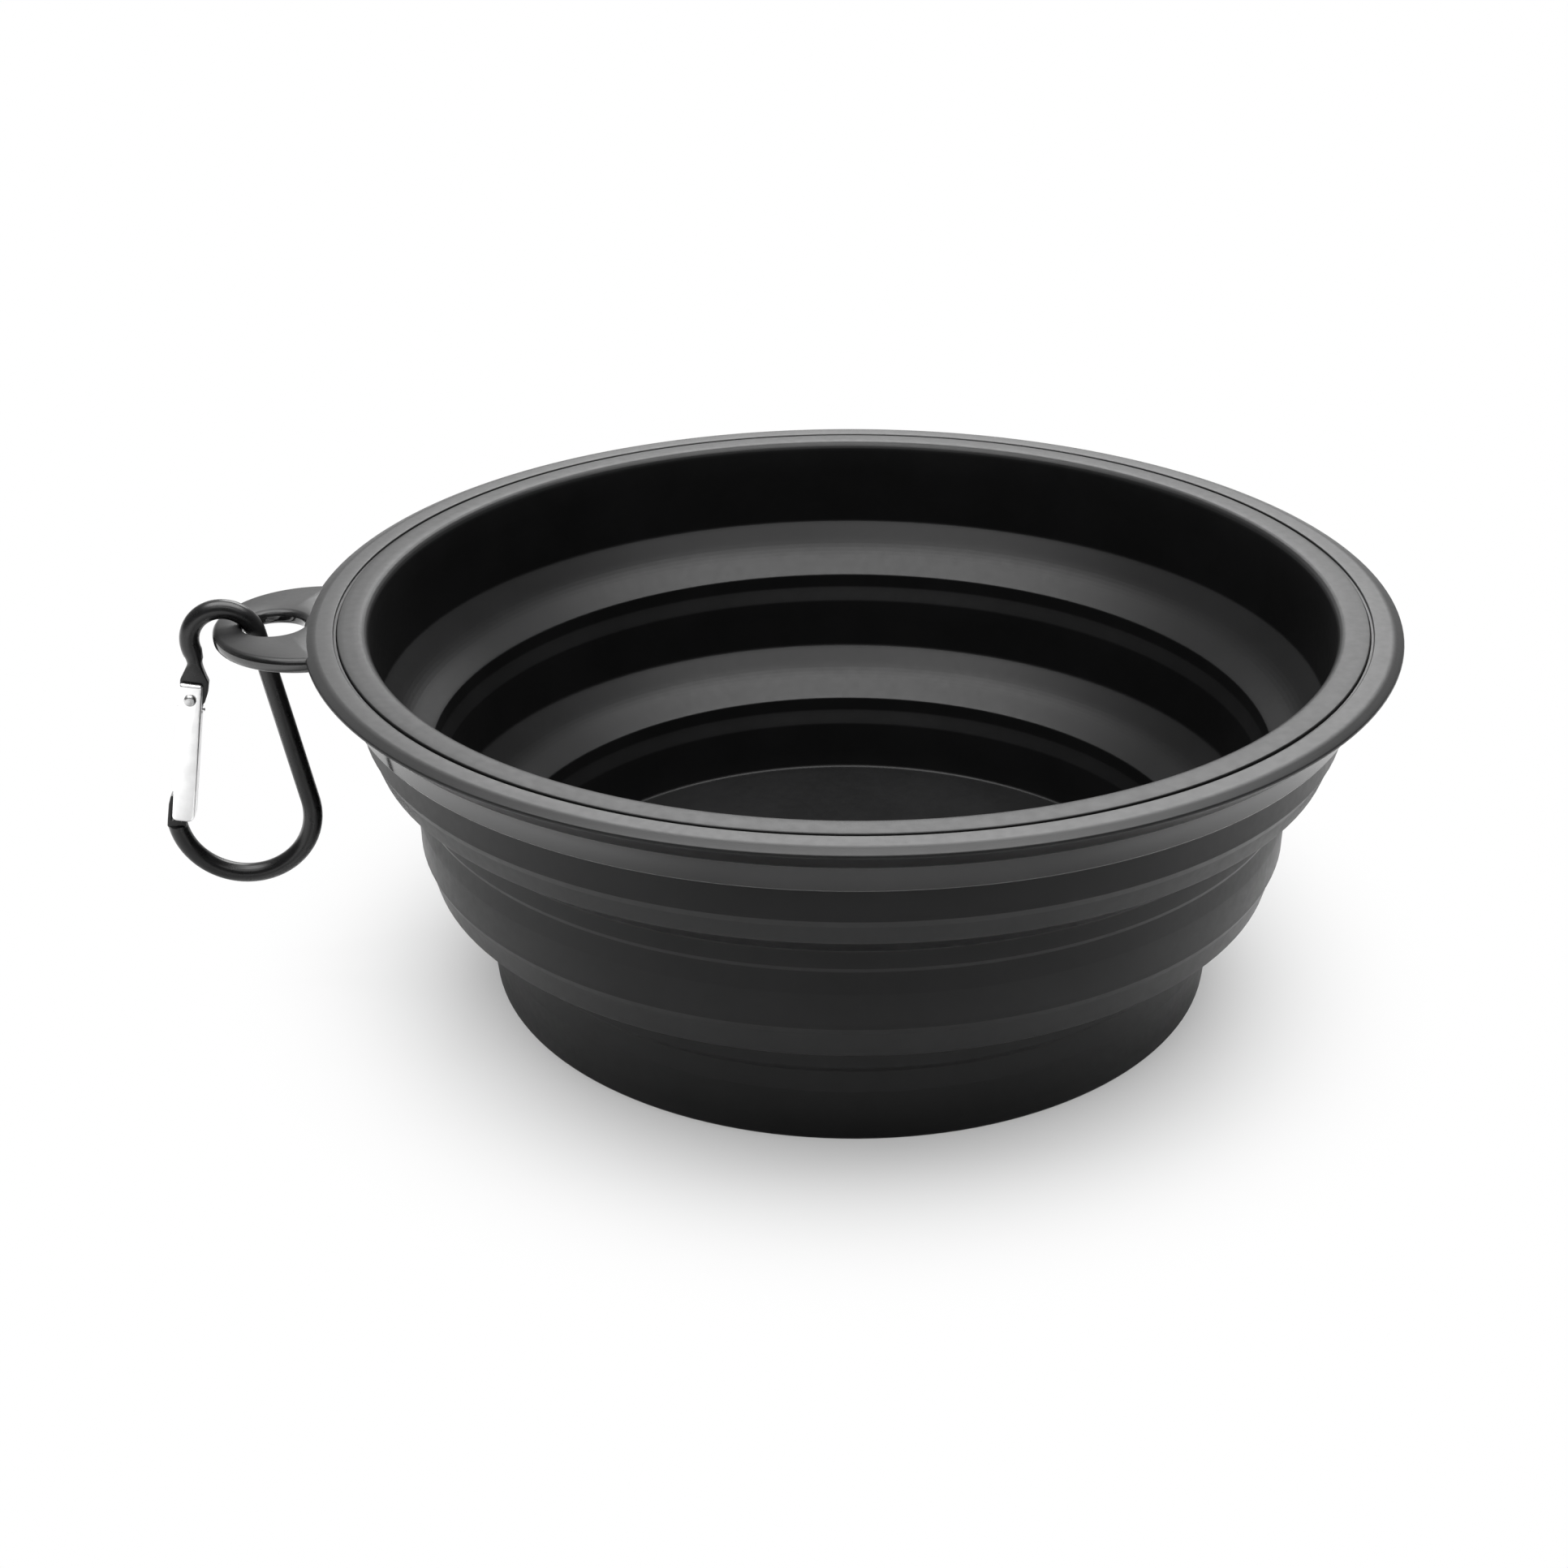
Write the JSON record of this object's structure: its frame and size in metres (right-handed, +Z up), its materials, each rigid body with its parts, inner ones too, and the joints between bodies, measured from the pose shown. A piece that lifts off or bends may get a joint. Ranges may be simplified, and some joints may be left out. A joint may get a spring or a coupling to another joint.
{
  "type": "collapsible pet bowl",
  "caption": "Soft stepped travel bowl for pets that folds flat into a rigid rim ring, with a hang tab that carries a sprung snap clip.",
  "frame": {"origin": "centre of the bowl's flat underside", "axes": "+Z up along the bowl's axis, -X from the axis out through the hang tab and the clip, +Y to the left when looking along +X"},
  "size_m": [0.2063, 0.18, 0.0696],
  "materials": {
    "soft_bowl": "satin silicone",
    "rim_plastic": "satin moulded",
    "clip_black": "satin black coat",
    "gate_metal": "bright",
    "spring_steel": "plain wire"
  },
  "bodies": {
    "rim": {"rim_ring": "rim_plastic", "upper_wall": "soft_bowl", "upper_fold": "soft_bowl"},
    "middle": {"middle_wall": "soft_bowl", "lower_fold": "soft_bowl"},
    "base": {"base_cup": "soft_bowl"},
    "clip": {"clip_frame": "clip_black", "gate_rivet": "gate_metal"},
    "gate": {"clip_gate": "gate_metal", "gate_spring": "spring_steel"},
    "plunger": {"gate_plunger": "spring_steel"}
  },
  "joints": [
    {"name": "upper_fold_slide", "type": "slide", "parent": "rim", "child": "middle", "axis": [0, 0, 1], "range_m": [0, 0.022], "deforming": ["upper_fold"]},
    {"name": "lower_fold_slide", "type": "slide", "parent": "middle", "child": "base", "axis": [0, 0, 1], "range_m": [0, 0.022], "deforming": ["lower_fold"]},
    {"name": "clip_swing", "type": "hinge", "parent": "rim", "child": "clip", "pos_m": [-0.1031, 0, 0.0625], "axis": [0, 1, 0], "range_deg": [-28, 130]},
    {"name": "gate_hinge", "type": "hinge", "parent": "clip", "child": "gate", "pos_m": [-0.10941, 0, 0.0528], "axis": [0, -1, 0], "range_deg": [0, 40], "stiffness_Nm_per_rad": 0.02, "springref_deg": -14.9},
    {"name": "plunger_slide", "type": "slide", "parent": "gate", "child": "plunger", "axis": [-0.1658, 0, -0.9862], "range_m": [0, 0.00047], "deforming": ["gate_spring"]}
  ],
  "couplings": [
    {"joint": "plunger_slide", "follows": "gate_hinge", "m_per_rad": 0.00066}
  ]
}
